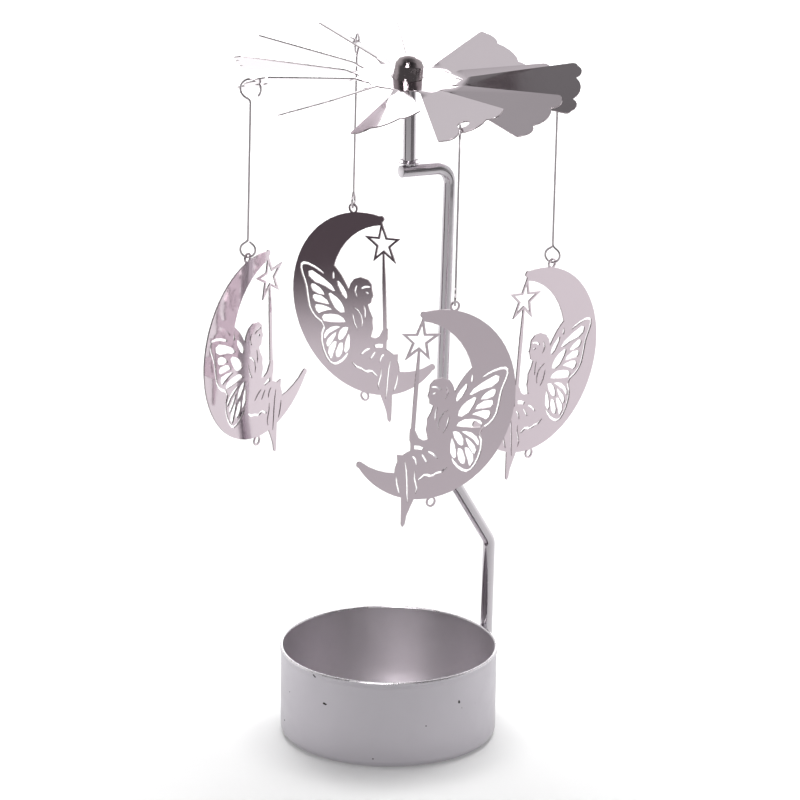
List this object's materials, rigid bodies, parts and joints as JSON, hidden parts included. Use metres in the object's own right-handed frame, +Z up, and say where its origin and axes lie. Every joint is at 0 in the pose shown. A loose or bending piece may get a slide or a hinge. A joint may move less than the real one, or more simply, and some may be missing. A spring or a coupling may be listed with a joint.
{
  "type": "candle carousel",
  "caption": "Rotary tealight holder: a steel cup with a bent mast carries a slit fan on a needle; pierced moon charms hang from the fan on wires and circle the candle.",
  "frame": {"origin": "centre of the cup's underside, on the table", "axes": "+Z up along the cup's axis, -Y to the front, where the picture was taken from, +X to the right"},
  "size_m": [0.073, 0.0761, 0.1325],
  "materials": {
    "satin_steel": "satin, deep drawn",
    "chrome": "bright plated wire and rod",
    "dark_chrome": "dark polished plate",
    "braze": "plated braze fillet",
    "bright_sheet": "bright, slightly satin sheet"
  },
  "bodies": {
    "stand": {"tealight_cup": "satin_steel", "mast_rod": "chrome", "mast_weld": "braze", "needle_post": "chrome", "post_collar": "chrome"},
    "rotor": {"fan_rotor": "bright_sheet", "pivot_cap": "dark_chrome"},
    "hanger_front": {"hanger_wire_front": "chrome"},
    "hanger_right": {"hanger_wire_right": "chrome"},
    "hanger_back": {"hanger_wire_back": "chrome"},
    "hanger_left": {"hanger_wire_left": "chrome"},
    "charm_front": {"moon_charm_front": "bright_sheet"},
    "charm_right": {"moon_charm_right": "bright_sheet"},
    "charm_back": {"moon_charm_back": "bright_sheet"},
    "charm_left": {"moon_charm_left": "bright_sheet"}
  },
  "joints": [
    {"name": "rotor_spin", "type": "hinge", "parent": "stand", "child": "rotor", "pos_m": [0.00285, 0.00185, 0.131], "axis": [0, 0, 1], "continuous": true},
    {"name": "hanger_front_swing", "type": "hinge", "parent": "rotor", "child": "hanger_front", "pos_m": [0.01185, -0.02667, 0.12537], "axis": [-0.9994, 0.0349, 0], "range_deg": [-2, 20]},
    {"name": "hanger_right_swing", "type": "hinge", "parent": "rotor", "child": "hanger_right", "pos_m": [0.03017, 0.01177, 0.12139], "axis": [-0.2924, -0.9563, 0], "range_deg": [-2, 20]},
    {"name": "hanger_back_swing", "type": "hinge", "parent": "rotor", "child": "hanger_back", "pos_m": [-0.00717, 0.03068, 0.12583], "axis": [0.9848, -0.1736, 0], "range_deg": [-2, 20]},
    {"name": "hanger_left_swing", "type": "hinge", "parent": "rotor", "child": "hanger_left", "pos_m": [-0.02617, -0.00812, 0.12812], "axis": [0.1737, 0.9848, 0], "range_deg": [-2, 20]},
    {"name": "charm_front_turn", "type": "hinge", "parent": "hanger_front", "child": "charm_front", "pos_m": [0.0114, -0.02667, 0.09307], "axis": [0, 0, 1], "range_deg": [-72, 8]},
    {"name": "charm_right_turn", "type": "hinge", "parent": "hanger_right", "child": "charm_right", "pos_m": [0.02972, 0.01177, 0.0891], "axis": [0, 0, 1], "range_deg": [-4, 66]},
    {"name": "charm_back_turn", "type": "hinge", "parent": "hanger_back", "child": "charm_back", "pos_m": [-0.00762, 0.03068, 0.09353], "axis": [0, 0, 1], "range_deg": [-15, 65]},
    {"name": "charm_left_turn", "type": "hinge", "parent": "hanger_left", "child": "charm_left", "pos_m": [-0.02662, -0.00812, 0.09583], "axis": [0, 0, 1], "range_deg": [-16, 64]}
  ]
}
